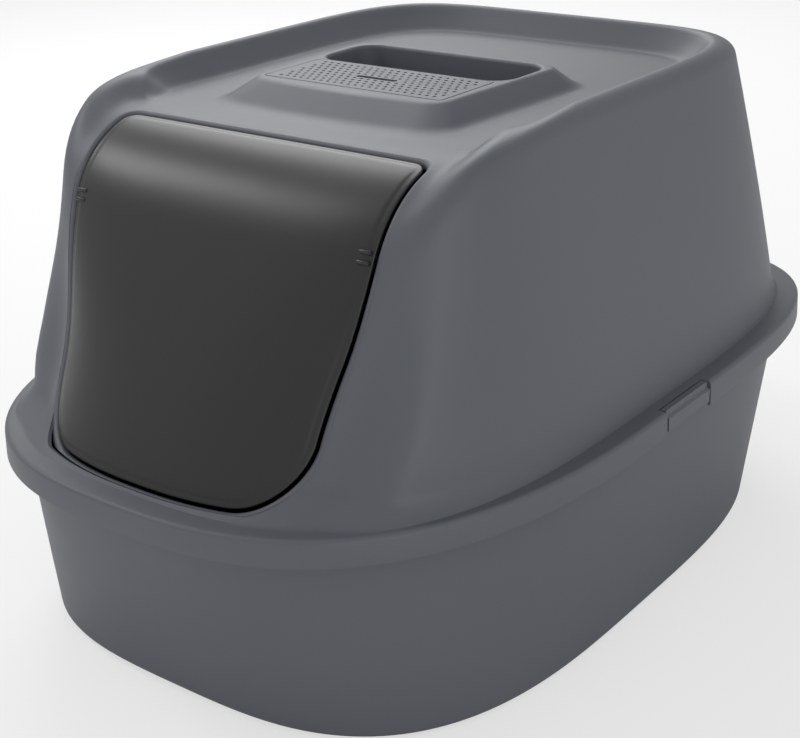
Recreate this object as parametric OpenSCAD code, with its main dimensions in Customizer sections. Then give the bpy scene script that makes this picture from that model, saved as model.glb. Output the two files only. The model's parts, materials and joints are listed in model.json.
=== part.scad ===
// Hooded litter box with a smoked swing door
// The origin is the centre of the footprint on the floor. X is to the right seen from the front, Y to the back.

/* [Overall size] */
// Width across the skirt
box_w = 381; // [340:1:420]
// Length across the skirt, front to back
box_l = 560; // [520:1:600]
// Height of the crest above the floor
crest_z = 320; // [310:1:330]
// Height of the sunk top panel
panel_z = 304; // [300:1:306]

/* [Tray and skirt] */
// Height of the ledge round the foot of the hood
ledge_z = 137; // [134:1:140]
// Depth of the skirt below the ledge
skirt_h = 16; // [14:1:18]
// Distance from the skirt in to the hood wall at the sides
ledge_side = 13.5; // [12:0.5:15]
// Distance from the skirt in to the hood wall at the front and back
ledge_end = 10; // [9:1:12]
// Draft of the tray wall at the sides
tray_draft_side = 2; // [1:1:5]
// Draft of the tray wall at the front
tray_draft_front = 21; // [16:1:26]
// Draft of the tray wall at the back
tray_draft_back = 48; // [36:1:54]
// Wall thickness of the tray and the hood
wall = 2.8; // [2.4:0.1:3.2]

/* [Hood form] */
// How far forward of the middle the box is widest
widest_y = -19; // [-24:1:-14]
// Half width at the crest
crest_half_w = 151; // [148:0.5:154]
// Place of the back of the crest
crest_back_y = 186; // [180:1:190]
// Place where the curved front runs into the top panel
brow_y = -122; // [-124:1:-120]
// Radius of the curved top of the front
brow_r = 78; // [76:1:80]
// Set back of the front wall for each millimetre of height
front_lean = 0.56; // [0.55:0.01:0.57]

/* [Doorway] */
// Half width of the doorway at the top
doorway_top_w = 111; // [110.5:0.5:111]
// Half width of the doorway low down
doorway_low_w = 108; // [104:0.5:109]
// Radius of the lower corners of the doorway
doorway_r = 28; // [20:1:34]
// Place of the back edge of the doorway on the top
doorway_back_y = -134; // [-138:1:-132]
// Gap round the door
door_gap = 3; // [2.5:0.1:3.5]
// Thickness of the door
door_t = 2.6; // [2.2:0.1:3]

/* [Door pivot] */
// Place of the pivot, front to back
pivot_y = -171.5; // [-172:0.5:-171]
// Height of the pivot
pivot_z = 265; // [264:0.5:266]
// Radius of the pivot pegs
peg_r = 3.5; // [3:0.1:4]
// Running clearance of pegs and pins in their bores
running_gap = 0.08; // [0.05:0.01:0.1]

/* [Side clips] */
// Place of the clips, front to back
clip_y = 12; // [0:1:20]
// Length of a clip
clip_l = 52; // [44:1:56]
// Radius of the clip pins
clip_pin_r = 1.4; // [1.3:0.1:1.5]

/* [Filter housing] */
// Half width of the rim of the housing at its front
housing_front_w = 72; // [68:1:76]
// Half width of the rim of the housing at its back
housing_back_w = 80; // [76:1:84]
// Place of the front of the rim
housing_front_y = -76; // [-80:1:-72]
// Place of the back of the rim
housing_back_y = 47; // [42:1:50]
// Spread of the sloped sides of the housing
housing_spread = 13; // [10:1:15]
// Height of the rim of the housing
housing_z = 316; // [314:1:318]
// Pitch of the holes in the cover
hole_pitch = 5.2; // [4.8:0.1:6]
// Radius of the holes in the cover
hole_r = 1.2; // [1:0.1:1.4]

/* [Hidden] */

// Points in a quarter of a plan outline
quarter = 13;
ring_n = 4 * quarter;
rim_half = box_w / 2;
front_reach = box_l / 2 + widest_y;
back_reach = box_l / 2 - widest_y;
skirt_z = ledge_z - skirt_h;
graphite = [0.36, 0.38, 0.41];
smoke = [0.16, 0.16, 0.17, 0.75];
carbon = [0.07, 0.07, 0.08];

// A plan outline: a rounded oblong with its own roundness at the front and at the back
function power(u, n) = sign(u) * pow(abs(u), 2 / n);
function plan_point(k, half_w, front, back, n_front, n_back) =
    let (turn = 90 * k / quarter)
    let (at_back = sin(turn) >= 0)
    let (n = at_back ? n_back : n_front)
    [half_w * power(cos(turn), n), widest_y + (at_back ? back : front) * power(sin(turn), n)];
function plan_ring(half_w, front, back, n_front, n_back, z) =
    [for (k = [0:ring_n - 1]) let (p = plan_point(k, half_w, front, back, n_front, n_back)) [p.x, p.y, z]];

// A closed skin through a list of outlines, capped at its first and its last
module skin(rings) {
    last = len(rings) - 1;
    points = [for (ring = rings) each ring];
    bottom = [[for (i = [0:ring_n - 1]) i]];
    top = [[for (i = [ring_n - 1:-1:0]) last * ring_n + i]];
    sides = [for (r = [0:last - 1], i = [0:ring_n - 1])
        let (j = (i + 1) % ring_n, a = r * ring_n, b = a + ring_n)
        each [[a + i, b + i, b + j], [a + i, b + j, a + j]]];
    polyhedron(points, concat(bottom, sides, top));
}

// The skirt and the rim follow one outline, set in by some distance
skirt_n_front = 2.67;
skirt_n_back = 4.04;
function rim_ring(inset, z) =
    plan_ring(rim_half - inset, front_reach - inset, back_reach - inset, skirt_n_front, skirt_n_back, z);

// The wall of the tray, drafted in towards the floor
tray_top_inset = 11;
tray_top_z = ledge_z - wall;
function tray_ring(inset, z) =
    let (low = 1 - z / tray_top_z, i = tray_top_inset + inset)
    plan_ring(rim_half - i - tray_draft_side * low, front_reach - i - tray_draft_front * low,
              back_reach - i - tray_draft_back * low, skirt_n_front + 0.15 * low, skirt_n_back - 1.1 * low, z);

tray_floor = 3;
lip_inset = 4.4;
lip_t = 2;
lip_h = 9;
foot_r = 7;

module tray_shell() {
    fillet = [for (a = [0:30:60]) [foot_r * (1 - sin(a)), foot_r * (1 - cos(a))]];
    outer = [for (f = fillet) tray_ring(f[0], f[1])];
    inner = [for (f = fillet) tray_ring(wall + f[0], tray_floor + f[1])];
    rim = [
        tray_ring(0, foot_r),
        tray_ring(0, tray_top_z - 3),
        rim_ring(lip_inset + lip_t, tray_top_z - 2.4),
        rim_ring(lip_inset + lip_t, tray_top_z - lip_h),
        rim_ring(lip_inset, tray_top_z - lip_h),
        rim_ring(lip_inset, tray_top_z - 0.6),
        rim_ring(lip_inset + 0.8, tray_top_z),
        tray_ring(wall, tray_top_z),
        tray_ring(wall, tray_floor + foot_r)
    ];
    skin(concat(outer, rim, [for (k = [len(inner) - 1:-1:0]) inner[k]]));
}

// Half width, front and back of the hood wall, and its roundness, at a height
flare_h = 13;
flare_z = ledge_z + flare_h;
brow_z = panel_z - brow_r;
lean_angle = atan(front_lean);
brow_start_z = brow_z + brow_r * sin(lean_angle);
brow_start_y = brow_y - brow_r * cos(lean_angle);
function flare(z) = z < flare_z ? pow((flare_z - z) / flare_h, 2) : 0;
function rise(z) = (z - ledge_z) / (crest_z - ledge_z);
function hood_half_w(z) =
    let (foot = rim_half - ledge_side - 1)
    foot + (crest_half_w - foot) * rise(z) + flare(z);
function hood_back(z) =
    let (foot = back_reach - ledge_end - 6)
    foot + (crest_back_y - widest_y - foot) * rise(z) + 6 * flare(z);
function hood_front(z) = widest_y - (
    z > panel_z ? brow_y
    : z > brow_start_z ? brow_y - sqrt(brow_r * brow_r - pow(z - brow_z, 2))
    : brow_start_y - (brow_start_z - z) * front_lean - 4 * flare(z));
function hood_n_front(z) =
    z < flare_z ? 2.45 + 0.4 * flare(z) : 2.45 + 5 * pow((min(z, panel_z) - flare_z) / (panel_z - flare_z), 2.4);
function hood_n_back(z) = 4 + 1.5 * rise(z);

// The crest runs down into the top panel at the front
crest_fade_front = -118;
crest_fade_back = -45;
function ease(u) = let (t = max(0, min(1, u))) t * t * (3 - 2 * t);
function crest_lift(k) =
    let (y = plan_point(k, crest_half_w, widest_y - brow_y, crest_back_y - widest_y, 7, 5.5).y)
    ease((y - crest_fade_front) / (crest_fade_back - crest_fade_front));
function crest_top(k) = panel_z + (crest_z - panel_z) * crest_lift(k);

// A point of the hood wall at a share of its height, set in from the face and dropped below it
function hood_point(k, share, inset, drop) =
    let (z = ledge_z + (crest_top(k) - ledge_z) * share)
    let (p = plan_point(k, hood_half_w(z) - inset, hood_front(z) - inset, hood_back(z) - inset,
                        hood_n_front(z), hood_n_back(z)))
    [p.x, p.y, z - drop];
function hood_ring(share, inset, drop) = [for (k = [0:ring_n - 1]) hood_point(k, share, inset, drop)];

// Rings over the edge: a small rounding where there is a crest, the top of the curved front where there is none
edge_r = 9;
edge_turns = [[0, 0.958], [30, 0.98], [55, 0.993], [75, 0.999]];
function edge_ring(turn, inset, drop) =
    [for (k = [0:ring_n - 1])
        let (lift = crest_lift(k), low = edge_r * (1 - sin(turn[0])) / (crest_top(k) - ledge_z))
        let (share = turn[1] + (1 - low - turn[1]) * lift)
        hood_point(k, share, inset + edge_r * (1 - cos(turn[0])) * lift, drop)];
crest_flat = 11;
crest_slope = 14;
function slope_ring(inset, lift) =
    [for (k = [0:ring_n - 1]) let (p = hood_point(k, 1, inset, 0)) [p.x, p.y, panel_z + lift * crest_lift(k)]];
function panel_ring(inset, z) =
    [for (k = [0:ring_n - 1]) let (p = hood_point(k, 1, inset, 0)) [p.x, p.y, z]];

wall_shares = [0.03, 0.07, 0.15, 0.3, 0.45, 0.6, 0.72, 0.8, 0.87, 0.93];
skirt_t = 2.6;

module hood_shell() {
    inner = [for (s = wall_shares) hood_ring(s, wall, wall * s)];
    outer = [for (s = wall_shares) hood_ring(s, 0, 0)];
    skin(concat(
        [panel_ring(crest_flat + crest_slope + wall, panel_z - wall)],
        [panel_ring(crest_flat + crest_slope, panel_z - wall)],
        [hood_ring(1, crest_flat, wall)],
        [for (k = [len(edge_turns) - 1:-1:0]) edge_ring(edge_turns[k], wall, wall)],
        [for (k = [len(inner) - 1:-1:0]) inner[k]],
        [
            rim_ring(tray_top_inset + wall, ledge_z - wall + 0.3),
            rim_ring(skirt_t + 1, ledge_z - wall + 0.3),
            rim_ring(skirt_t, ledge_z - wall - 1),
            rim_ring(skirt_t - 0.6, skirt_z),
            rim_ring(0, skirt_z),
            rim_ring(0.4, ledge_z - 2),
            rim_ring(1.2, ledge_z - 0.6),
            rim_ring(3, ledge_z),
            hood_ring(0, 0, 0)
        ],
        outer,
        [for (turn = edge_turns) edge_ring(turn, 0, 0)],
        [
            hood_ring(1, edge_r, 0),
            hood_ring(1, crest_flat, 0),
            slope_ring(crest_flat + crest_slope, 0.8),
            panel_ring(crest_flat + crest_slope + 1.2, panel_z)
        ]));
}

// Outline of the doorway seen from the front, shrunk by some gap
doorway_sill = ledge_z + 1;
doorway_low_z = 170;
doorway_high_z = 290;
function corner_arc(cx, cz, r, from, to, steps) =
    [for (i = [0:steps]) let (a = from + (to - from) * i / steps) [cx + r * cos(a), cz + r * sin(a)]];
module doorway_outline(gap) {
    low = doorway_low_w - gap;
    right = concat(
        corner_arc(low - doorway_r - 1, doorway_sill + gap + doorway_r, doorway_r, -90, -8, 7),
        [[low, doorway_low_z], [doorway_top_w - gap, doorway_high_z], [doorway_top_w - gap, crest_z + 20]]);
    left = [for (i = [len(right) - 1:-1:0]) [-right[i].x, right[i].y]];
    polygon(concat(right, left));
}

// Outline of the doorway seen from above, with rounded back corners
doorway_back_r = 10;
module doorway_plan(gap) {
    half = doorway_top_w - gap;
    back = doorway_back_y - gap;
    r = doorway_back_r;
    polygon(concat(
        [[-half, -box_l / 2], [half, -box_l / 2]],
        corner_arc(half - r, back - r, r, 0, 90, 5),
        corner_arc(-half + r, back - r, r, 90, 180, 5)));
}

module doorway_space(gap) {
    intersection() {
        rotate([90, 0, 0]) linear_extrude(box_l / 2) doorway_outline(gap);
        linear_extrude(crest_z + 20) doorway_plan(gap);
    }
}

// The sloped housing on the top panel
function housing_ring(grow, z) =
    let (steps = quarter - 1, r = 7 + grow * 0.6)
    let (fw = housing_front_w + grow, bw = housing_back_w + grow)
    let (f = housing_front_y - grow, b = housing_back_y + grow)
    let (bow = 6)
    [for (c = [[bw - r, b - r, 0], [-bw + r, b - r, 90], [-fw + r, f + r, 180], [fw - r, f + r, 270]],
          i = [0:steps])
        let (a = c[2] + 90 * i / steps)
        let (x = c[0] + r * cos(a), y = c[1] + r * sin(a))
        [x, y + (y < 0 ? bow * pow(x / fw, 2) : 0), z]];

well_half_w = 62;
well_front_y = housing_front_y + 15;
well_back_y = -14;
well_floor_z = 297.6;
ledge_t = 2.4;
well_wall = 2.4;
cover_half_w = 66;
cover_front_y = housing_front_y + 11;
cover_back_y = -10;
cover_t = 2.6;
cover_z = housing_z - cover_t;
seat_gap = 0.4;
cover_gap = 0.3;
grid_ledge = 5;

grip_half_w = 70;
grip_front_y = cover_back_y + 5;
grip_back_y = housing_back_y - 6;
grip_depth = 30;
grip_r = 10;

module rounded_block(half_w, front, back, low, high, r) {
    translate([0, 0, low]) linear_extrude(high - low) polygon(concat(
        corner_arc(half_w - r, back - r, r, 0, 90, 4),
        corner_arc(-half_w + r, back - r, r, 90, 180, 4),
        corner_arc(-half_w + r, front + r, r, 180, 270, 4),
        corner_arc(half_w - r, front + r, r, 270, 360, 4)));
}

// The door turns on pegs that stand out of ears behind its sides, in lugs behind the hood wall
ear_x = 104.4;
ear_t = 3;
ear_r = 6;
lug_x = 111.4;
lug_t = 5;
lug_r = 6.4;
peg_end = lug_x + lug_t - 1.4;
bore_end = peg_end + 0.4;

// The clips sit in windows of the skirt and turn on pins in lugs of the tray rim
clip_half = clip_l / 2;
window_gap = 0.8;
window_low = skirt_z + 3;
skirt_in = rim_half - skirt_t;
clip_face = rim_half - 0.2;
stem_in = rim_half - 3.9;
hook_in = rim_half - 6.1;
hook_low = ledge_z - 1.1;
clip_pin_x = rim_half - 5.6;
clip_pin_z = ledge_z - 9.5;
barrel_r = 2.2;
pin_reach = 4.5;
lip_in = rim_half - lip_inset - lip_t;
clip_lug_in = lip_in - 1.5;
clip_lug_out = skirt_in - 1;
clip_lug_t = 5;

module mirror_copy() {
    children();
    mirror([1, 0, 0]) children();
}

module along_y(x, z, r, from, to) {
    translate([x, to, z]) rotate([90, 0, 0]) cylinder(r = r, h = to - from, $fn = 40);
}

module along_x(y, z, r, from, to) {
    translate([from, y, z]) rotate([0, 90, 0]) cylinder(r = r, h = to - from, $fn = 48);
}

module block(low, high) {
    translate(low) cube(high - low);
}

module tray() {
    near = clip_y - clip_half;
    far = clip_y + clip_half;
    color(graphite) difference() {
        union() {
            tray_shell();
            mirror_copy() for (y = [near - 1 - clip_lug_t, far + 1])
                block([clip_lug_in, y, clip_pin_z - 3], [clip_lug_out, y + clip_lug_t, tray_top_z - 1]);
        }
        mirror_copy() block([clip_lug_in - 0.2, near - 1, skirt_z], [rim_half, far + 1, tray_top_z - 2.4]);
        mirror_copy() along_y(clip_pin_x, clip_pin_z, clip_pin_r + running_gap, near - pin_reach - 0.4, far + pin_reach + 0.4);
    }
}

module hood() {
    near = clip_y - clip_half - window_gap;
    far = clip_y + clip_half + window_gap;
    color(graphite) difference() {
        union() {
            difference() {
                hood_shell();
                doorway_space(0);
            }
            skin([housing_ring(housing_spread, panel_z - 0.5), housing_ring(1, housing_z - 1), housing_ring(0, housing_z)]);
            rounded_block(well_half_w + well_wall, well_front_y - well_wall, well_back_y + well_wall,
                          well_floor_z, panel_z, 5);
            rounded_block(grip_half_w + wall, grip_front_y - wall, grip_back_y + wall,
                          housing_z - grip_depth - wall, panel_z, grip_r + wall);
            mirror_copy() along_x(pivot_y, pivot_z, lug_r, lug_x, lug_x + lug_t);
        }
        rounded_block(cover_half_w, cover_front_y, cover_back_y, cover_z - cover_gap, housing_z + 1, 3);
        rounded_block(well_half_w, well_front_y, well_back_y, well_floor_z + ledge_t, housing_z, 3);
        rounded_block(well_half_w - grid_ledge, well_front_y + grid_ledge, well_back_y - grid_ledge,
                      well_floor_z - 1, housing_z, 3);
        rounded_block(grip_half_w, grip_front_y, grip_back_y, housing_z - grip_depth, housing_z + 1, grip_r);
        mirror_copy() along_x(pivot_y, pivot_z, peg_r + running_gap, lug_x - 1, bore_end);
        mirror_copy() block([stem_in - 0.5, near, skirt_z - 1], [rim_half + 1, far, ledge_z + 1]);
        mirror_copy() block([hook_in - 0.4, near, hook_low - 0.1], [rim_half, far, ledge_z + 1]);
    }
}

door_shares = concat(wall_shares, [for (turn = edge_turns) turn[1]]);
module swing_door() {
    color(smoke) {
        intersection() {
            skin(concat(
                [panel_ring(30, panel_z - 0.6 - door_t)],
                [for (k = [len(door_shares) - 1:-1:0])
                    hood_ring(door_shares[k], 0.4 + door_t, (0.6 + door_t) * door_shares[k])],
                [hood_ring(0, 0.4 + door_t, 0), hood_ring(0, 0.4, 0)],
                [for (s = door_shares) hood_ring(s, 0.4, 0.6 * s)],
                [panel_ring(30, panel_z - 0.6)]));
            doorway_space(door_gap);
        }
        mirror_copy() {
            along_x(pivot_y, pivot_z, ear_r, ear_x, ear_x + ear_t);
            translate([ear_x, 0, 0]) rotate([90, 0, 90]) linear_extrude(ear_t) polygon([
                [pivot_y, pivot_z - ear_r],
                [pivot_y - 14, pivot_z - ear_r],
                [pivot_y - 11.6, pivot_z],
                [pivot_y - 9.8, pivot_z + 3],
                [pivot_y, pivot_z + ear_r]]);
            along_x(pivot_y, pivot_z, peg_r, ear_x, peg_end);
        }
    }
}

// A clip: a flat plate with a nail catch, a stem with a hook at its top, and a barrel with pins at its foot
module clip() {
    near = clip_y - clip_half;
    far = clip_y + clip_half;
    translate([0, far, 0]) rotate([90, 0, 0]) linear_extrude(clip_l) polygon([
        [clip_face, window_low + 0.3],
        [clip_face, ledge_z - 4.6],
        [clip_face - 1.9, ledge_z - 3.4],
        [clip_face - 2.3, ledge_z],
        [hook_in, ledge_z],
        [hook_in, hook_low],
        [stem_in, hook_low],
        [stem_in, clip_pin_z + 1],
        [clip_pin_x, clip_pin_z + 1],
        [clip_pin_x, clip_pin_z - 1.2],
        [stem_in, window_low + 0.3]]);
    along_y(clip_pin_x, clip_pin_z, barrel_r, near, far);
    along_y(clip_pin_x, clip_pin_z, clip_pin_r, near - pin_reach, far + pin_reach);
}

module clip_left() {
    color(graphite) mirror([1, 0, 0]) clip();
}

module clip_right() {
    color(graphite) clip();
}

// The cover: rows of small staggered holes, a finger slot and a snap tab at the front
slot_l = 30;
slot_w = 4;
slot_y = -38;
hole_rows = 9;
hole_edge = 6;
module filter_cover() {
    half = cover_half_w - seat_gap;
    front = cover_front_y + seat_gap;
    back = cover_back_y - seat_gap;
    row = (back - front - 2 * hole_edge) / (hole_rows - 1);
    across = floor((half - hole_edge) / hole_pitch);
    color(graphite) difference() {
        rounded_block(half, front, back, cover_z, housing_z, 2.6);
        for (j = [0:hole_rows - 1], i = [-across:across])
            let (x = (i + (j % 2 == 0 ? 0 : 0.5)) * hole_pitch, y = front + hole_edge + j * row)
            if (abs(x) < half - hole_edge + 1 && (abs(x) > slot_l / 2 + 3 || abs(y - slot_y) > slot_w / 2 + 2.6))
                translate([x, y, cover_z - 1]) cylinder(r = hole_r, h = cover_t + 2, $fn = 16);
        translate([0, slot_y, cover_z - 1]) linear_extrude(cover_t + 2) polygon(concat(
            corner_arc(slot_l / 2 - slot_w / 2, 0, slot_w / 2, -90, 90, 8),
            corner_arc(-slot_l / 2 + slot_w / 2, 0, slot_w / 2, 90, 270, 8)));
    }
}

pad_gap = 1;
pad_low_z = well_floor_z + ledge_t + 2.6;
module charcoal_filter() {
    color(carbon) rounded_block(well_half_w - pad_gap, well_front_y + pad_gap, well_back_y - pad_gap,
                                pad_low_z, cover_z, 5);
}

bar_pitch = 9;
bar_w = 3;
grid_t = 2.2;
module filter_grid() {
    half = well_half_w - seat_gap;
    front = well_front_y + seat_gap;
    back = well_back_y - seat_gap;
    low = well_floor_z + ledge_t;
    color(graphite) difference() {
        rounded_block(half, front, back, low, low + grid_t, 2.6);
        for (x = [-54 + bar_w:bar_pitch:50])
            block([x, front + grid_ledge + 1, low - 1], [x + bar_pitch - bar_w, back - grid_ledge - 1, low + grid_t + 1]);
    }
}

tray();
hood();
swing_door();
clip_left();
clip_right();
filter_cover();
charcoal_filter();
filter_grid();
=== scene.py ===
import json
import math

import bmesh
import bpy
import numpy as np
from mathutils import Matrix, Vector


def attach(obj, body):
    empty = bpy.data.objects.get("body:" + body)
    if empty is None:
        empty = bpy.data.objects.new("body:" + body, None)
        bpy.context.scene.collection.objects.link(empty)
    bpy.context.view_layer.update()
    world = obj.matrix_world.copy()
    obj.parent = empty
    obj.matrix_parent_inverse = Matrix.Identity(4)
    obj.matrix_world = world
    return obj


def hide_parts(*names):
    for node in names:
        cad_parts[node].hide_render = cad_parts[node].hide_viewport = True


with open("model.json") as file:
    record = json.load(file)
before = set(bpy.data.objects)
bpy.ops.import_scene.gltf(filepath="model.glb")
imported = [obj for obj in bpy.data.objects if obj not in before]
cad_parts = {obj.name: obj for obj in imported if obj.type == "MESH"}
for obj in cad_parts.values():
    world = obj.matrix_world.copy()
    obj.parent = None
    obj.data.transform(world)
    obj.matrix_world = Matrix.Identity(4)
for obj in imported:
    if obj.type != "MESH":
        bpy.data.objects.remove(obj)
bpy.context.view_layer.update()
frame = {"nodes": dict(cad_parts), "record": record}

# ---------------------------------------------------------------- sizes
# In millimetres. They are those of part.scad, but for the tray's drafts, the doorway's sides and the fine forms.
BOX_W, BOX_L, CREST_Z, PANEL_Z = 381.0, 560.0, 320.0, 304.0
LEDGE_Z, SKIRT_H, LEDGE_SIDE, LEDGE_END = 137.0, 16.0, 13.5, 10.0
DRAFT_SIDE, DRAFT_FRONT, DRAFT_BACK, WALL = 2.0, 25.0, 45.0, 2.8
WIDEST_Y, CREST_HALF_W, CREST_BACK_Y = -19.0, 151.0, 186.0
BROW_Y, BROW_R, FRONT_LEAN = -122.0, 78.0, 0.56
DOORWAY_TOP_W, DOORWAY_LOW_W, DOORWAY_R, DOORWAY_BACK_Y = 111.0, 97.5, 36.0, -134.0
DOOR_GAP, DOOR_T = 1.7, 2.6
PIVOT_Y, PIVOT_Z, PEG_R, RUNNING_GAP = -171.5, 265.0, 3.5, 0.08
CLIP_Y, CLIP_L, CLIP_PIN_R = 12.0, 52.0, 1.4
HOUSING_FRONT_W, HOUSING_BACK_W, HOUSING_FRONT_Y, HOUSING_BACK_Y = 71.0, 76.0, -76.0, 47.0
HOUSING_SPREAD, HOUSING_Z = 13.0, 316.0

RIM_HALF = BOX_W / 2
FRONT_REACH, BACK_REACH = BOX_L / 2 + WIDEST_Y, BOX_L / 2 - WIDEST_Y
SKIRT_Z = LEDGE_Z - SKIRT_H
SKIRT_N_FRONT, SKIRT_N_BACK = 2.67, 4.04
TRAY_TOP_INSET, TRAY_TOP_Z, TRAY_FLOOR = 11.0, LEDGE_Z - WALL, 3.0
FOOT_N_FRONT, FOOT_N_BACK = 0.5, -0.4
LIP_INSET, LIP_T, LIP_H, FOOT_R = 4.4, 2.0, 9.0, 7.0
FLARE_H, FLARE_FRONT, FLARE_BACK = 13.0, 4, 6
FLARE_Z = LEDGE_Z + FLARE_H
BROW_Z = PANEL_Z - BROW_R
LEAN = math.atan(FRONT_LEAN)
BROW_START_Z = BROW_Z + BROW_R * math.sin(LEAN)
BROW_START_Y = BROW_Y - BROW_R * math.cos(LEAN)
FRONT_N_LOW, FRONT_N_RISE, FRONT_N_POWER = 2.45, 5, 2.4
BACK_N_LOW, BACK_N_RISE = 4, 1.5
CREST_N_FRONT, CREST_N_BACK = 7.45, 5.5
CREST_FADE_X, CREST_FADE_W = 116.0, 28.0
CREST_DIP, CREST_DIP_Y, CREST_DIP_L = 0.25, -50, 66
CORNER_N, CORNER_X, CORNER_X_RISE, CORNER_FADE = 0.9, 106, 10, 0.16
EDGE_R, CREST_FLAT, CREST_SLOPE, SKIRT_T = 9.0, 11.0, 14.0, 2.6
DOORWAY_SILL, DOORWAY_HIGH_Z, DOORWAY_CORNER_R = LEDGE_Z + 1, 282.0, 10.0
DOORWAY_WAIST, DOORWAY_WAIST_Z, DOORWAY_KNEE_Z = 0.45, 212, 246
EAR_X, EAR_T, EAR_R = 104.4, 3.0, 6.0
LUG_X, LUG_T, LUG_R = 111.4, 5.0, 6.4
PEG_END = LUG_X + LUG_T - 1.4
HOUSING_R, HOUSING_FRONT_SPREAD, HOUSING_BOW = 12, 1.8, 6

# ---------------------------------------------------------------- outlines


def even_turns(count):
    """Turns of a plan outline, so that its points lie about evenly along it, the same left and right."""
    half_w, front, back = 165.0, 200.0, 220.0
    bearing = np.linspace(-np.pi / 2, np.pi / 2, 4001)
    reach = np.where(np.sin(bearing) < 0, front, back)
    share_x, share_y = np.abs(np.cos(bearing)) / half_w, np.abs(np.sin(bearing)) / reach
    radius = (share_x ** 4 + share_y ** 4) ** -0.25
    along = np.hypot(np.diff(radius * np.cos(bearing)), np.diff(radius * np.sin(bearing)))
    length = np.concatenate([[0], np.cumsum(along)])
    turn = np.arctan2(np.sign(np.sin(bearing)) * (radius * share_y) ** 2, (radius * share_x) ** 2)
    right = np.interp(np.linspace(0, length[-1], count // 2 + 1), length, turn)
    return np.concatenate([right, np.pi - right[-2:0:-1]])


RING_N = 320
TURNS = even_turns(RING_N)


def plan_ring(half_w, front, back, n_front, n_back, z):
    cos, sin = np.cos(TURNS), np.sin(TURNS)
    cos[np.abs(cos) < 1e-9] = 0
    at_back = sin >= 0
    n = np.where(at_back, n_back, n_front)
    x = half_w * np.sign(cos) * np.abs(cos) ** (2 / n)
    y = WIDEST_Y + np.where(at_back, back, front) * np.sign(sin) * np.abs(sin) ** (2 / n)
    return np.stack([x, y, np.broadcast_to(z, x.shape)], -1)


def rim_ring(inset, z):
    return plan_ring(RIM_HALF - inset, FRONT_REACH - inset, BACK_REACH - inset,
                     SKIRT_N_FRONT, SKIRT_N_BACK, z)


def tray_ring(inset, z):
    low = 1 - z / TRAY_TOP_Z
    i = TRAY_TOP_INSET + inset
    return plan_ring(RIM_HALF - i - DRAFT_SIDE * low, FRONT_REACH - i - DRAFT_FRONT * low,
                     BACK_REACH - i - DRAFT_BACK * low, SKIRT_N_FRONT + FOOT_N_FRONT * low,
                     SKIRT_N_BACK + FOOT_N_BACK * low, z)


def ease(u):
    t = np.clip(u, 0, 1)
    return t * t * (3 - 2 * t)


def flare(z):
    return np.clip((FLARE_Z - z) / FLARE_H, 0, None) ** 2


def rise(z):
    return (z - LEDGE_Z) / (CREST_Z - LEDGE_Z)


def hood_half_w(z):
    foot = RIM_HALF - LEDGE_SIDE - 1
    return foot + (CREST_HALF_W - foot) * rise(z) + flare(z)


def hood_back(z):
    foot = BACK_REACH - LEDGE_END - FLARE_BACK
    return foot + (CREST_BACK_Y - WIDEST_Y - foot) * rise(z) + FLARE_BACK * flare(z)


def hood_front(z):
    arc = BROW_Y - np.sqrt(np.clip(BROW_R ** 2 - (z - BROW_Z) ** 2, 0, None))
    lean = BROW_START_Y - (BROW_START_Z - z) * FRONT_LEAN - FLARE_FRONT * flare(z)
    return WIDEST_Y - np.where(z > PANEL_Z, BROW_Y, np.where(z > BROW_START_Z, arc, lean))


def hood_n_front(z, with_flare=True):
    height = np.clip((np.minimum(z, PANEL_Z) - FLARE_Z) / (PANEL_Z - FLARE_Z), 0, 1)
    return FRONT_N_LOW + FRONT_N_RISE * height ** FRONT_N_POWER + (0.4 * flare(z) if with_flare else 0)


def hood_n_back(z):
    return BACK_N_LOW + BACK_N_RISE * rise(z)


# The share of its height that the crest has at each point of a ring: none over the doorway
crest_x, crest_y, _ = plan_ring(CREST_HALF_W, WIDEST_Y - BROW_Y, CREST_BACK_Y - WIDEST_Y,
                                CREST_N_FRONT, CREST_N_BACK, 0).T
CREST_LIFT = np.where(crest_y < WIDEST_Y, ease((np.abs(crest_x) - CREST_FADE_X) / CREST_FADE_W), 1)
CREST_LIFT = CREST_LIFT * (1 - CREST_DIP * np.clip((CREST_DIP_Y - crest_y) / CREST_DIP_L, 0, 1))
CREST_TOP = PANEL_Z + (CREST_Z - PANEL_Z) * CREST_LIFT


def hood_ring(share, inset=0.0, drop=0.0):
    """A ring of the hood at a share of the way up, with fuller corners on both sides of the doorway."""
    z = LEDGE_Z + (CREST_TOP - LEDGE_Z) * share
    even = LEDGE_Z + (PANEL_Z - LEDGE_Z) * share
    n_front = hood_n_front(even)
    across = np.abs(np.cos(TURNS)) ** (2 / n_front)
    start = (CORNER_X + CORNER_X_RISE * np.clip((even - 150) / 110, 0, 1)) / hood_half_w(z)
    up_share = CORNER_N * ease((275 - even) / 90) * ease((even - 110) / 62)
    n_front = n_front + up_share * ease((across - start) / CORNER_FADE)
    ring = plan_ring(hood_half_w(z) - inset, hood_front(even) - inset, hood_back(z) - inset,
                     n_front, hood_n_back(z), z)
    ring[:, 2] -= drop
    return ring


def edge_ring(turn, share, inset=0.0, drop=0.0):
    """A ring over the edge: a rounding where there is a crest, the top of the brow where there is none."""
    low = EDGE_R * (1 - math.sin(turn)) / (CREST_TOP - LEDGE_Z)
    return hood_ring(share + (1 - low - share) * CREST_LIFT,
                     inset + EDGE_R * (1 - math.cos(turn)) * CREST_LIFT, drop)


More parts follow.
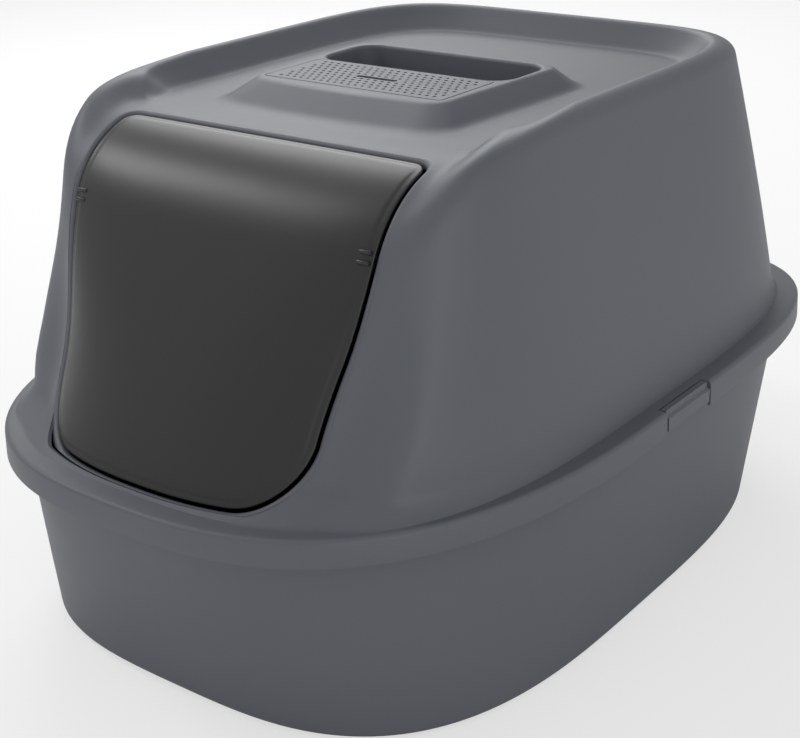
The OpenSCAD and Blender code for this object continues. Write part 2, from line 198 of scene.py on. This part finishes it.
def slope_ring(inset, lift, behind=0.0):
    """A ring of the slope inside the crest, drawn in less where there is no crest."""
    ring = hood_ring(1, inset * (0.4 + 0.6 * CREST_LIFT) + behind * (1 - CREST_LIFT))
    ring[:, 2] = PANEL_Z + lift * CREST_LIFT
    return ring


def arc(cx, cy, r, start, end, steps):
    turn = np.radians(np.linspace(start, end, steps + 1))
    return np.stack([cx + r * np.cos(turn), cy + r * np.sin(turn)], -1)


def bezier(a, b, c, steps):
    t = np.linspace(0, 1, steps + 1)[:, None]
    return (1 - t) ** 2 * np.array(a) + 2 * t * (1 - t) * np.array(b) + t ** 2 * np.array(c)


def length_along(line):
    return np.concatenate([[0], np.cumsum(np.linalg.norm(np.diff(line, axis=0), axis=1))])


def placed_along(line, stops):
    """The points of a line at stops along its length."""
    length = length_along(line)
    return np.stack([np.interp(stops, length, line[:, i]) for i in range(line.shape[1])], -1)


def respaced(line, count):
    """The same open line with its points evenly spaced."""
    return placed_along(line, np.linspace(0, length_along(line)[-1], count))


def housing_ring(grow, z):
    """A ring of the filter housing, with a front that bows forward in the middle."""
    r = HOUSING_R + max(grow, 0) * 0.6
    fw, bw = HOUSING_FRONT_W + grow, HOUSING_BACK_W + grow
    f, b = HOUSING_FRONT_Y - grow * HOUSING_FRONT_SPREAD, HOUSING_BACK_Y + grow
    right = respaced(np.concatenate([[[0, f]], arc(fw - r, f + r, r, 270, 360, 16),
                                     arc(bw - r, b - r, r, 0, 90, 16), [[0, b]]]), 600)
    bow = HOUSING_BOW * (right[:, 0] / fw) ** 2 * np.clip(-right[:, 1] / 40, 0, 1)
    right[:, 1] += np.where(right[:, 1] < 0, bow, 0)
    right = respaced(right, RING_N // 2 + 1)
    loop = np.concatenate([right, right[-2:0:-1] * [-1, 1]])
    return np.concatenate([loop, np.full((RING_N, 1), z)], 1)


def rounded_rect(half_w, front, back, r):
    steps = 8
    return np.concatenate([arc(half_w - r, back - r, r, 0, 90, steps),
                           arc(-half_w + r, back - r, r, 90, 180, steps),
                           arc(-half_w + r, front + r, r, 180, 270, steps),
                           arc(half_w - r, front + r, r, 270, 360, steps)])


# ---------------------------------------------------------------- meshes


def make_piece(name, points, faces):
    mesh = bpy.data.meshes.new(name)
    mesh.from_pydata((np.asarray(points) / 1000).tolist(), [], faces)
    work = bmesh.new()
    work.from_mesh(mesh)
    bmesh.ops.recalc_face_normals(work, faces=work.faces)
    work.to_mesh(mesh)
    work.free()
    piece = bpy.data.objects.new(name, mesh)
    bpy.context.collection.objects.link(piece)
    return piece


def skin(rings):
    """Points and faces of a closed skin through rings of the same count, capped at both ends."""
    count, size = len(rings), len(rings[0])
    index = np.arange(count * size).reshape(count, size)
    after = np.roll(index, -1, axis=1)
    faces = np.stack([index[:-1], after[:-1], after[1:], index[1:]], -1).reshape(-1, 4).tolist()
    return np.concatenate(rings), faces + [index[0][::-1].tolist(), index[-1].tolist()]


def loft(name, rings):
    return make_piece(name, *skin(rings))


def level(loop, z):
    return np.concatenate([loop, np.full((len(loop), 1), z)], 1)


def block(name, low, high):
    loop = np.array([[low[0], low[1]], [high[0], low[1]], [high[0], high[1]], [low[0], high[1]]], float)
    return loft(name, [level(loop, low[2]), level(loop, high[2])])


def rod(name, start, end, r, axis, steps=40, round_end=0.0):
    """A rod along X or Y, with its ends rounded a little."""
    circle = arc(0, 0, 1, 0, 360, steps)[:-1]
    ends = [(0, r)]
    if round_end:
        ends = [(0, r - round_end), (0.3 * round_end, r - 0.3 * round_end), (round_end, r)]
    sign = 1 if end[axis] > start[axis] else -1
    stops = [(start[axis] + sign * d, q) for d, q in ends]
    stops += [(end[axis] - sign * d, q) for d, q in reversed(ends)]
    rings = []
    for place, q in stops:
        ring = np.zeros((len(circle), 3))
        ring[:, axis] = place
        ring[:, 1 - axis] = start[1 - axis] + circle[:, 0] * q
        ring[:, 2] = start[2] + circle[:, 1] * q
        rings.append(ring)
    return loft(name, rings)


def mirrored(make):
    """Makes a form on the right and its mirror image on the left."""
    return [make(1), make(-1)]


def combine(piece, union=(), cut=()):
    """Joins closed forms to a closed piece and cuts others out of it."""
    for operation, tools in (("UNION", union), ("DIFFERENCE", cut)):
        for tool in tools:
            modifier = piece.modifiers.new(tool.name, "BOOLEAN")
            modifier.operation = operation
            modifier.solver = "MANIFOLD"
            modifier.object = tool
    bpy.context.view_layer.update()
    old = piece.data
    evaluated = piece.evaluated_get(bpy.context.evaluated_depsgraph_get())
    piece.data = bpy.data.meshes.new_from_object(evaluated)
    piece.modifiers.clear()
    bpy.data.meshes.remove(old)
    for tool in [*union, *cut]:
        bpy.data.objects.remove(tool)
    return piece


def merge(piece, others):
    """Puts the meshes of other pieces into one piece."""
    work = bmesh.new()
    for part in [piece, *others]:
        work.from_mesh(part.data)
    work.to_mesh(piece.data)
    work.free()
    for part in others:
        bpy.data.objects.remove(part)
    return piece


def finish(piece, name, body, slot, node):
    piece.name = piece.data.name = name
    piece.data.shade_smooth()
    piece.data.set_sharp_from_angle(angle=math.radians(32))
    piece.data.materials.clear()
    piece.data.materials.append(looks[slot])
    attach(piece, body)
    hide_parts(node)


# ---------------------------------------------------------------- materials


def node_material(name, base_color, roughness):
    material = bpy.data.materials.new(name)
    material.use_nodes = True
    shader = material.node_tree.nodes["Principled BSDF"]
    shader.inputs["Base Color"].default_value = (*base_color, 1)
    shader.inputs["Roughness"].default_value = roughness
    return material, material.node_tree, shader


def moulded_plastic(name, base_color, roughness, grain_scale, grain_height, tint=0.06):
    """Moulded plastic: a fine spark-eroded grain, and slow drifts of colour and gloss."""
    material, tree, shader = node_material(name, base_color, roughness)
    nodes, links = tree.nodes, tree.links
    place = nodes.new("ShaderNodeTexCoord").outputs["Object"]

    drift = nodes.new("ShaderNodeTexNoise")
    drift.inputs["Scale"].default_value = 9
    drift.inputs["Detail"].default_value = 4
    links.new(place, drift.inputs["Vector"])

    colour = nodes.new("ShaderNodeMix")
    colour.data_type = "RGBA"
    colour.inputs["A"].default_value = (*(c * (1 - tint) for c in base_color), 1)
    colour.inputs["B"].default_value = (*(c * (1 + tint) for c in base_color), 1)
    links.new(drift.outputs["Fac"], colour.inputs["Factor"])
    links.new(colour.outputs["Result"], shader.inputs["Base Color"])

    gloss = nodes.new("ShaderNodeMapRange")
    gloss.inputs["To Min"].default_value = roughness - 0.05
    gloss.inputs["To Max"].default_value = roughness + 0.05
    links.new(drift.outputs["Fac"], gloss.inputs["Value"])
    links.new(gloss.outputs["Result"], shader.inputs["Roughness"])

    grain = nodes.new("ShaderNodeTexNoise")
    grain.inputs["Scale"].default_value = grain_scale
    grain.inputs["Detail"].default_value = 3
    grain.inputs["Roughness"].default_value = 0.6
    links.new(place, grain.inputs["Vector"])

    bump = nodes.new("ShaderNodeBump")
    bump.inputs["Strength"].default_value = 0.35
    bump.inputs["Distance"].default_value = grain_height
    links.new(grain.outputs["Fac"], bump.inputs["Height"])
    links.new(bump.outputs["Normal"], shader.inputs["Normal"])
    return material


graphite = moulded_plastic("graphite_plastic", (0.112, 0.121, 0.142), 0.5, 900, 0.0002)
smoke = moulded_plastic("smoked_plastic", (0.021, 0.0205, 0.0225), 0.4, 1400, 0.0001, 0.03)
smoke_inputs = smoke.node_tree.nodes["Principled BSDF"].inputs
smoke_inputs["Coat Weight"].default_value = 0.06
smoke_inputs["Coat Roughness"].default_value = 0.25
felt = moulded_plastic("carbon_felt", (0.018, 0.018, 0.02), 0.95, 500, 0.0015, 0.3)

looks = {"graphite_plastic": graphite, "smoked_plastic": smoke, "carbon_felt": felt}
node_slots = {part["node"]: part["material_slot"] for part in frame["record"]["subparts"]}
for name, node in frame["nodes"].items():
    for place in node.material_slots:
        place.material = looks[node_slots[name]]

# ---------------------------------------------------------------- tray

fillet = [(FOOT_R * (1 - math.sin(a)), FOOT_R * (1 - math.cos(a))) for a in np.radians(np.arange(0, 90, 15))]
tray_outer = [tray_ring(i, z) for i, z in fillet]
tray_outer += [tray_ring(0, z) for z in (FOOT_R, 40, 75, 105, 122, TRAY_TOP_Z - 3)]
tray_inner = [tray_ring(WALL + i, TRAY_FLOOR + z) for i, z in fillet]
tray_inner += [tray_ring(WALL, z) for z in (TRAY_FLOOR + FOOT_R, 40, 75, 105, 125, TRAY_TOP_Z - 1)]
tray_rim = [
    rim_ring(LIP_INSET + LIP_T, TRAY_TOP_Z - 2.4),
    rim_ring(LIP_INSET + LIP_T, TRAY_TOP_Z - LIP_H),
    rim_ring(LIP_INSET, TRAY_TOP_Z - LIP_H),
    rim_ring(LIP_INSET, TRAY_TOP_Z - 0.8),
    rim_ring(LIP_INSET + 0.25, TRAY_TOP_Z - 0.25),
    rim_ring(LIP_INSET + 0.8, TRAY_TOP_Z),
    tray_ring(WALL - 0.8, TRAY_TOP_Z),
    tray_ring(WALL - 0.25, TRAY_TOP_Z - 0.25),
]
tray = loft("tray_shell", tray_outer + tray_rim + tray_inner[::-1])

clip_near, clip_far = CLIP_Y - CLIP_L / 2, CLIP_Y + CLIP_L / 2
clip_pin_x, clip_pin_z, pin_reach = RIM_HALF - 5.6, LEDGE_Z - 9.5, 4.5
lug_in, lug_out = RIM_HALF - LIP_INSET - LIP_T - 1.5, RIM_HALF - SKIRT_T - 1


def side_block(low, high):
    def make(side):
        x = sorted((side * low[0], side * high[0]))
        return block("side_block", (x[0], low[1], low[2]), (x[1], high[1], high[2]))
    return mirrored(make)


tray_lugs, tray_cuts = [], []
for y in (clip_near - 6, clip_far + 1):
    tray_lugs += side_block((lug_in, y, clip_pin_z - 3), (lug_out, y + 5, TRAY_TOP_Z - 1))
tray_cuts += side_block((lug_in - 0.2, clip_near - 1, SKIRT_Z), (RIM_HALF, clip_far + 1, TRAY_TOP_Z - 2.4))
bore_ends = clip_near - pin_reach - 0.4, clip_far + pin_reach + 0.4
tray_cuts += mirrored(lambda side: rod("bore", *[(side * clip_pin_x, y, clip_pin_z) for y in bore_ends],
                                       CLIP_PIN_R + RUNNING_GAP, 1))
combine(tray, tray_lugs, tray_cuts)
finish(tray, "tray_pan", "tray", "graphite_plastic", "tray")

# ---------------------------------------------------------------- hood shell

# Shares of the way up the wall, then turns round its upper edge with the share where there is no crest
wall_shares = [0.008, 0.017, 0.028, 0.04, 0.055, 0.07, 0.1, 0.15, 0.2, 0.26, 0.32, 0.38, 0.44, 0.5, 0.56, 0.62,
               0.68, 0.72, 0.755, 0.79, 0.82, 0.85, 0.875, 0.9, 0.92, 0.938]
edge_turns = [(0, 0.952), (12, 0.964), (24, 0.974), (36, 0.982), (48, 0.989), (60, 0.994), (72, 0.9975),
              (82, 0.9993)]
edge_turns = [(math.radians(turn), share) for turn, share in edge_turns]
inner_shares = [0.03, 0.07, 0.15, 0.25, 0.35, 0.45, 0.55, 0.65, 0.72, 0.78, 0.83, 0.87, 0.9, 0.925]
bead = arc(0, 0, 1, 0, 90, 6)
skirt_round = [rim_ring(0.4 + 2.6 * (1 - c), LEDGE_Z - 2.6 * (1 - s)) for c, s in bead]
skirt_foot = [rim_ring(0.5 - 0.5 * s, SKIRT_Z + 0.5 - 0.5 * c) for c, s in arc(0, 0, 1, 0, 90, 3)]
foot_ring = hood_ring(0)
ledge_inner = [foot_ring + (rim_ring(3, LEDGE_Z) - foot_ring) * t for t in (0.75, 0.5, 0.25)]

# The slope inside the crest, as shares of its width and of its height
crest_h, slope_in = CREST_Z - PANEL_Z, CREST_FLAT + CREST_SLOPE
slope_shares = [(-0.1, 1), (0.0, 0.985), (0.1, 0.93), (0.18, 0.86), (0.3, 1 - 0.3), (0.6, 1 - 0.6),
                (0.8, 1 - 0.8), (0.9, 0.115), (0.97, 0.07), (1.04, 0.03), (1.13, 0.008), (1.25, 0)]
slope = [slope_ring(CREST_FLAT + CREST_SLOPE * u, crest_h * v) for u, v in slope_shares]
inner_slope = [slope_ring(inset, lift, WALL) - [0, 0, WALL]
               for inset, lift in ((slope_in + WALL, 0), (slope_in, 0), (CREST_FLAT, crest_h))]
housing_foot = bezier((HOUSING_SPREAD + 4.5, PANEL_Z), (HOUSING_SPREAD, PANEL_Z),
                      (HOUSING_SPREAD - 3.2, PANEL_Z + 3.2), 6)
housing_top = bezier((1.8, HOUSING_Z - 1.8), (0, HOUSING_Z), (-1.8, HOUSING_Z), 6)
housing_rings = [housing_ring(grow, z) for grow, z in np.concatenate([housing_foot, housing_top])]

# From the middle of the inner skin out and down, round the skirt, up the outer skin and in to the housing
hood = loft("hood_shell",
            inner_slope
            + [edge_ring(turn, share, WALL, WALL) for turn, share in reversed(edge_turns)]
            + [hood_ring(share, WALL, WALL * share) for share in reversed(inner_shares)]
            + [rim_ring(TRAY_TOP_INSET + WALL, LEDGE_Z - WALL + 0.3),
               rim_ring(SKIRT_T + 1, LEDGE_Z - WALL + 0.3),
               rim_ring(SKIRT_T, LEDGE_Z - WALL - 1),
               rim_ring(SKIRT_T - 0.6, SKIRT_Z)]
            + skirt_foot + skirt_round + ledge_inner + [foot_ring]
            + [hood_ring(share) for share in wall_shares]
            + [edge_ring(turn, share) for turn, share in edge_turns]
            + [slope_ring(EDGE_R, crest_h)] + slope + housing_rings)

# ---------------------------------------------------------------- doorway, in places across and up the profile

STRAIGHT = (BROW_START_Z - LEDGE_Z) / math.cos(LEAN)


def front_place(x, t, depth=0.0):
    """Points of the front wall: x across, t along the profile from the ledge up, depth below the face."""
    def surface(x, t):
        turn = LEAN + (t - STRAIGHT) / BROW_R
        on_brow = t > STRAIGHT
        z = np.where(on_brow, BROW_Z + BROW_R * np.sin(turn), LEDGE_Z + t * math.cos(LEAN))
        y = np.where(on_brow, BROW_Y - BROW_R * np.cos(turn),
                     BROW_START_Y - (BROW_START_Z - z) * FRONT_LEAN)
        n, half_w = hood_n_front(z, False), hood_half_w(z)
        fall = (1 - np.clip(np.abs(x) / half_w, 0, 0.999) ** n) ** (1 / n)
        return np.stack([x, WIDEST_Y + (y - WIDEST_Y) * fall, z], -1)
    x, t = np.broadcast_arrays(np.asarray(x, float), np.asarray(t, float))
    step = 0.05
    across = surface(x + step, t) - surface(x - step, t)
    along = surface(x, t + step) - surface(x, t - step)
    normal = np.cross(across, along)
    normal /= np.linalg.norm(normal, axis=-1, keepdims=True)
    return surface(x, t) - normal * np.asarray(depth)[..., None]


def front_line(places, depth):
    """Points of the front wall at places across and up it, all at one depth."""
    return front_place(places[:, 0], places[:, 1], np.full(len(places), depth))


def t_of(x, axis, value):
    """Place up the profile where the front wall reaches a height or a place front to back."""
    low, high = np.zeros_like(x), np.full_like(x, STRAIGHT + BROW_R * (math.pi / 2 - LEAN))
    for _ in range(40):
        middle = (low + high) / 2
        short = front_place(x, middle)[..., axis] < value
        low, high = np.where(short, middle, low), np.where(short, high, middle)
    return (low + high) / 2


SILL_POINTS, TOP_POINTS = 24, 25


def doorway_loop(grow):
    """Outline of the doorway as places across and up the profile, from the middle of the sill round to it."""
    low, high, r = DOORWAY_LOW_W + grow, DOORWAY_TOP_W + grow, DOORWAY_R + grow * 0.6
    z0, rc = DOORWAY_SILL - grow, DOORWAY_CORNER_R + grow * 0.6
    back = DOORWAY_BACK_Y + grow
    corner = arc(low - r - 0.2, z0 + r, r, -90, -6, 16)
    sill = np.stack([np.linspace(0, corner[0, 0], SILL_POINTS + 1)[:-1], np.full(SILL_POINTS, z0)], -1)
    waist = (low + (high - low) * DOORWAY_WAIST, DOORWAY_WAIST_Z)
    side_low = bezier(corner[-1], (low, corner[-1, 1] + 16), waist, 16)
    side_high = bezier(waist, (high, DOORWAY_KNEE_Z), (high, DOORWAY_HIGH_Z), 14)
    front = np.concatenate([sill, corner, side_low[1:], side_high[1:]])
    t_front = t_of(front[:, 0], 2, front[:, 1])
    x_top = np.array([high])
    t_side = np.linspace(t_front[-1], t_of(x_top, 1, np.array([back - rc]))[0], 12)[1:]
    corner = arc(high - rc, back - rc, rc, 0, 90, 14)
    rest = np.stack([np.linspace(corner[-1, 0], 0, TOP_POINTS + 1)[1:], np.full(TOP_POINTS, back)], -1)
    plan = np.concatenate([corner, rest])
    t_plan = t_of(plan[:, 0], 1, plan[:, 1])
    right = np.concatenate([np.stack([front[:, 0], t_front], -1),
                            np.stack([np.full(len(t_side), high), t_side], -1)[:-1],
                            np.stack([plan[:, 0], t_plan], -1)])
    return np.concatenate([right, right[-2:0:-1] * [-1, 1]])


LIP_W, PLUG_OUT, PLUG_IN = 2.6, -14.0, 9.0


def doorway_plug():
    """The cutter for the doorway: a slab as curved as the front, made of rungs across the mirrored outline."""
    loop, rungs = doorway_loop(LIP_W), 24
    count, half = len(loop), len(loop) // 2
    share = np.linspace(0, 1, rungs + 1)[1:-1, None]
    points = [front_line(loop, depth) for depth in (PLUG_OUT, PLUG_IN)]
    faces = [[i, (i + 1) % count, (i + 1) % count + count, i + count] for i in range(count)]
    start = 2 * count
    for base, depth in ((0, PLUG_OUT), (count, PLUG_IN)):
        rows = {}
        for i in range(1, half):
            points.append(front_line(loop[i] + (loop[count - i] - loop[i]) * share, depth))
            rows[i] = [base + i, *range(start, start + rungs - 1), base + count - i]
            start += rungs - 1
        for i in range(1, half - 1):
            faces += [[rows[i][j], rows[i][j + 1], rows[i + 1][j + 1], rows[i + 1][j]] for j in range(rungs)]
        faces += [[base] + rows[1], [base + half] + rows[half - 1]]
    return make_piece("doorway_plug", np.concatenate(points), faces)


# ---------------------------------------------------------------- housing recesses, lugs, clip windows

well_front, well_back, well_half = HOUSING_FRONT_Y + 15, -14.0, 62.0
well_floor, cover_z = 297.6, HOUSING_Z - 2.6
cover_half, cover_front, cover_back = 66.0, HOUSING_FRONT_Y + 11, -10.0
grip_half, grip_front, grip_back, grip_r = 70.0, cover_back + 2, HOUSING_BACK_Y - 4, 14.0
grip_floor = HOUSING_Z - 30.0


def pocket(name, half_w, front, back, r, low, foot_round, top_round):
    """A cutter for a pocket in the top of the housing, with a rounded mouth and a rounded foot."""
    rings = []
    for turn in np.radians(np.linspace(90, 0, 5 if foot_round else 1)):
        inset = foot_round * (1 - math.cos(turn)) if foot_round else 0
        loop = rounded_rect(half_w - inset, front + inset, back - inset, max(r - inset, 1))
        rings.append(level(loop, low + foot_round * (1 - math.sin(turn))))
    for turn in np.radians(np.linspace(0, 90, 6)):
        grow = top_round * (1 - math.cos(turn))
        loop = rounded_rect(half_w + grow, front - grow, back + grow, r + grow)
        rings.append(level(loop, HOUSING_Z - top_round * (1 - math.sin(turn))))
    grow = top_round + 0.6
    rings.append(level(rounded_rect(half_w + grow, front - grow, back + grow, r + grow), HOUSING_Z + 0.6))
    return loft(name, rings)


def plain_block(half_w, front, back, low, high, r):
    return loft("plain_block", [level(rounded_rect(half_w, front, back, r), z) for z in (low, high)])


def pivot_rods(name, start_x, end_x, r, round_end=0.0):
    """Rods on the axis of the door, one on each side."""
    return mirrored(lambda side: rod(name, (side * start_x, PIVOT_Y, PIVOT_Z), (side * end_x, PIVOT_Y, PIVOT_Z),
                                     r, 0, 40, round_end))


additions = [
    plain_block(well_half + 2.4, well_front - 2.4, well_back + 2.4, well_floor, PANEL_Z - 0.4, 5),
    plain_block(grip_half + WALL, grip_front - WALL, grip_back + WALL, grip_floor - WALL, PANEL_Z - 0.2,
                grip_r + WALL),
]
additions += pivot_rods("lug", LUG_X, LUG_X + LUG_T, LUG_R)
cuts = [
    doorway_plug(),
    pocket("cover_seat", cover_half, cover_front, cover_back, 3, cover_z - 0.3, 0, 0.7),
    plain_block(well_half, well_front, well_back, well_floor + 2.4, HOUSING_Z - 0.5, 3),
    plain_block(well_half - 5, well_front + 5, well_back - 5, well_floor - 1, HOUSING_Z - 1, 3),
    pocket("grip_pocket", grip_half, grip_front, grip_back, grip_r, grip_floor, 6, 2.2),
]
cuts += pivot_rods("bore", LUG_X - 1, PEG_END + 0.4, PEG_R + RUNNING_GAP)
for depth, gap, low, out, high in ((4.4, 1.9, SKIRT_Z - 1, 1, 1), (7.0, 1.2, LEDGE_Z - 1.2, 0.5, 2)):
    cuts += side_block((RIM_HALF - depth, clip_near - gap, low),
                       (RIM_HALF + out, clip_far + gap, LEDGE_Z + high))
combine(hood, additions, cuts)

# The rounded lip round the doorway, as steps outside its outline and under the face
LIP_SIDES = [(LIP_W + 1.2, 0.12), (LIP_W + 0.3, 0.03)]
LIP_SIDES += [(LIP_W * (1 - math.sin(a)), LIP_W * (1 - math.cos(a)))
              for a in np.radians(np.arange(0, 91, 11.25))]
LIP_SIDES += [(0.0, WALL + 1.4), (0.4, WALL + 1.8), (LIP_W + 1.2, WALL + 1.8)]
lip_rings = [front_line(doorway_loop(grow), depth) for grow, depth in LIP_SIDES]


def tube(name, rings):
    """A closed band through rings, the last of which meets the first."""
    count, size = len(rings), len(rings[0])
    index = np.arange(count * size).reshape(count, size)
    over, after = np.roll(index, -1, axis=0), np.roll(index, -1, axis=1)
    faces = np.stack([index, after, np.roll(over, -1, axis=1), over], -1).reshape(-1, 4).tolist()
    return make_piece(name, np.concatenate(rings), faces)


merge(hood, [tube("doorway_lip", lip_rings)])
finish(hood, "hood_cover", "hood", "graphite_plastic", "hood")

# ---------------------------------------------------------------- swing door

DOOR_ROUND, BORDER_STEP, BORDER_W, BORDER_FADE = 0.9, 0.35, 4.6, 0.9
door_loop = doorway_loop(-DOOR_GAP)
right_half = door_loop[:len(door_loop) // 2 + 1]
low_corner, high_corner = SILL_POINTS + 8, len(right_half) - TOP_POINTS - 8


def between(line, count):
    """Points along an open line, closer together near both its ends, and their shares of its length."""
    whole = length_along(line)[-1]
    near = np.array([0, 0.12, 0.3, 0.55, 0.9, 1.4, 2.2, 3.4, 4.0, 4.6, 5.4, 7.0]) / whole
    middle = np.linspace(near[-1], 1 - near[-1], count)[1:-1]
    stops = np.concatenate([near, middle, 1 - near[::-1]]) * whole
    return placed_along(line, stops), stops / whole


# A sheet between the four sides of the door, which meet in the middles of its corners
flip = np.array([-1, 1])
bottom = np.concatenate([right_half[:low_corner + 1][::-1] * flip, right_half[1:low_corner + 1]])
side_right = right_half[low_corner:high_corner + 1]
top_edge = np.concatenate([right_half[high_corner:] * flip, right_half[high_corner:-1][::-1]])
bottom, a_stops = between(bottom, 46)
top_edge, _ = between(top_edge, 46)
side_right, b_stops = between(side_right, 46)
side_left = side_right * flip
a, b = a_stops[None, :, None], b_stops[:, None, None]
patch = ((1 - b) * bottom[None] + b * top_edge[None] + (1 - a) * side_left[:, None] + a * side_right[:, None]
         - (1 - a) * (1 - b) * bottom[0] - a * (1 - b) * bottom[-1]
         - (1 - a) * b * top_edge[0] - a * b * top_edge[-1])


def edge_distance(places, loop):
    """How far places lie from a closed outline."""
    start, step = loop, np.roll(loop, -1, axis=0) - loop
    away = places[:, None, :] - start[None]
    share = np.clip((away * step).sum(-1) / (step ** 2).sum(-1), 0, 1)
    return np.linalg.norm(away - share[..., None] * step, axis=-1).min(1)


rows, columns = patch.shape[:2]
flat = patch.reshape(-1, 2)
distance = edge_distance(flat, door_loop)
round_in = np.clip(DOOR_ROUND - distance, 0, None)
edge_drop = DOOR_ROUND - np.sqrt(np.clip(DOOR_ROUND ** 2 - round_in ** 2, 0, None))
border = BORDER_STEP * ease((BORDER_W - distance) / BORDER_FADE)
outer = front_place(flat[:, 0], flat[:, 1], 0.5 + edge_drop + border)
inner = front_place(flat[:, 0], flat[:, 1], 0.5 + DOOR_T - 0.6 * edge_drop)
index = np.arange(rows * columns).reshape(rows, columns)
sheet = np.stack([index[:-1, :-1], index[:-1, 1:], index[1:, 1:], index[1:, :-1]], -1).reshape(-1, 4)
border_line = np.concatenate([index[0, :-1], index[:-1, -1], index[-1, :0:-1], index[:0:-1, 0]])
after = np.roll(border_line, -1)
offset = rows * columns
sides = np.stack([border_line, after, after + offset, border_line + offset], -1)
door = make_piece("door_panel", np.concatenate([outer, inner]),
                  np.concatenate([sheet, sheet[:, ::-1] + offset, sides]).tolist())


def door_ear(side):
    """The plate that carries a peg, from the back of the door to the axis."""
    outline = np.array([[PIVOT_Y, PIVOT_Z - EAR_R], [PIVOT_Y - 14, PIVOT_Z - EAR_R], [PIVOT_Y - 11.6, PIVOT_Z],
                        [PIVOT_Y - 9.8, PIVOT_Z + 3], [PIVOT_Y, PIVOT_Z + EAR_R]])
    rings = [np.concatenate([np.full((len(outline), 1), side * x), outline], 1)
             for x in (EAR_X, EAR_X + EAR_T)]
    return loft("door_ear", rings)


def pivot_bead(lift):
    """A small rounded bead in the edge of the door, over or under the slit at its pivot."""
    def make(side):
        z = PIVOT_Z + lift
        y = front_place(103.5, t_of(np.array([103.5]), 2, z), 0.5)[0, 1]
        return rod("pivot_bead", (side * 99.5, y, z), (side * 107.5, y, z), 1.3, 0, 24, 0.8)
    return mirrored(make)


door_parts = mirrored(door_ear) + pivot_bead(2.5) + pivot_bead(-2.5)
door_parts += pivot_rods("ear_boss", EAR_X, EAR_X + EAR_T, EAR_R, 0.4)
door_parts += pivot_rods("peg", EAR_X, PEG_END, PEG_R, 0.5)
merge(door, door_parts)
finish(door, "door_flap", "swing_door", "smoked_plastic", "swing_door")

# ---------------------------------------------------------------- studio


def area_lamp(name, place, target, size, power):
    data = bpy.data.lights.new(name, "AREA")
    data.shape = "DISK"
    data.size = size
    data.energy = power
    lamp = bpy.data.objects.new(name, data)
    lamp.location = place
    lamp.rotation_euler = (Vector(target) - Vector(place)).to_track_quat("-Z", "Y").to_euler()
    bpy.context.collection.objects.link(lamp)


floor_mesh = bpy.data.meshes.new("floor")
floor_mesh.from_pydata([(-6, -6, 0), (6, -6, 0), (6, 6, 0), (-6, 6, 0)], [], [(0, 1, 2, 3)])
floor = bpy.data.objects.new("floor", floor_mesh)
bpy.context.collection.objects.link(floor)
# The camera sees the paper paler than it is, with the shadow kept
PAPER_GLOW = 0.6
paper, paper_tree, paper_shader = node_material("floor_paper", (0.94, 0.94, 0.94), 0.9)
paper_glow = paper_tree.nodes.new("ShaderNodeEmission")
paper_mix = paper_tree.nodes.new("ShaderNodeMixShader")
paper_share = paper_tree.nodes.new("ShaderNodeMath")
paper_share.operation = "MULTIPLY"
paper_share.inputs[1].default_value = PAPER_GLOW
for source, socket in (
        (paper_tree.nodes.new("ShaderNodeLightPath").outputs["Is Camera Ray"], paper_share.inputs[0]),
        (paper_share.outputs[0], paper_mix.inputs["Fac"]),
        (paper_shader.outputs[0], paper_mix.inputs[1]),
        (paper_glow.outputs[0], paper_mix.inputs[2]),
        (paper_mix.outputs[0], paper_tree.nodes["Material Output"].inputs["Surface"])):
    paper_tree.links.new(source, socket)
floor_mesh.materials.append(paper)

world = bpy.data.worlds.new("studio")
bpy.context.scene.world = world
world.use_nodes = True
world_nodes, world_links = world.node_tree.nodes, world.node_tree.links
world_light = world_nodes["Background"]
world_light.inputs["Color"].default_value = (1, 1, 1, 1)
world_light.inputs["Strength"].default_value = 0.56
world_white = world_nodes.new("ShaderNodeBackground")
world_white.inputs["Color"].default_value = (1, 1, 1, 1)
seen = world_nodes.new("ShaderNodeLightPath").outputs["Is Camera Ray"]
world_mix = world_nodes.new("ShaderNodeMixShader")
world_links.new(seen, world_mix.inputs["Fac"])
world_links.new(world_light.outputs[0], world_mix.inputs[1])
world_links.new(world_white.outputs[0], world_mix.inputs[2])
world_links.new(world_mix.outputs[0], world_nodes["World Output"].inputs["Surface"])

area_lamp("top_lamp", (-1.3, 1.3, 1.6), (0, 0, 0.3), 1.5, 19)
area_lamp("right_lamp", (1.9, -1.0, 0.35), (0, 0, 0.1), 1.2, 6)
area_lamp("left_lamp", (-1.55, -0.5, 1.6), (0, -0.15, 0.25), 0.6, 8)

# The camera that was fitted to the photograph
AZIMUTH, ELEVATION, ROLL = math.radians(37.557), math.radians(22.926), math.radians(-1.561)
back = Vector((math.sin(AZIMUTH) * math.cos(ELEVATION), -math.cos(AZIMUTH) * math.cos(ELEVATION),
               math.sin(ELEVATION)))
level_line = (-back).cross(Vector((0, 0, 1))).normalized()
upright = level_line.cross(-back)
right = math.cos(ROLL) * level_line + math.sin(ROLL) * upright
up = math.cos(ROLL) * upright - math.sin(ROLL) * level_line

camera_data = bpy.data.cameras.new("camera")
camera_data.lens = 69.85
camera_data.sensor_width = 36
camera = bpy.data.objects.new("camera", camera_data)
camera_turn = Matrix((right, up, back)).transposed().to_4x4()
camera.matrix_world = Matrix.Translation((0.5671, -0.7605, 0.5163)) @ camera_turn
bpy.context.collection.objects.link(camera)
bpy.context.scene.camera = camera
bpy.context.scene.view_settings.view_transform = "Standard"
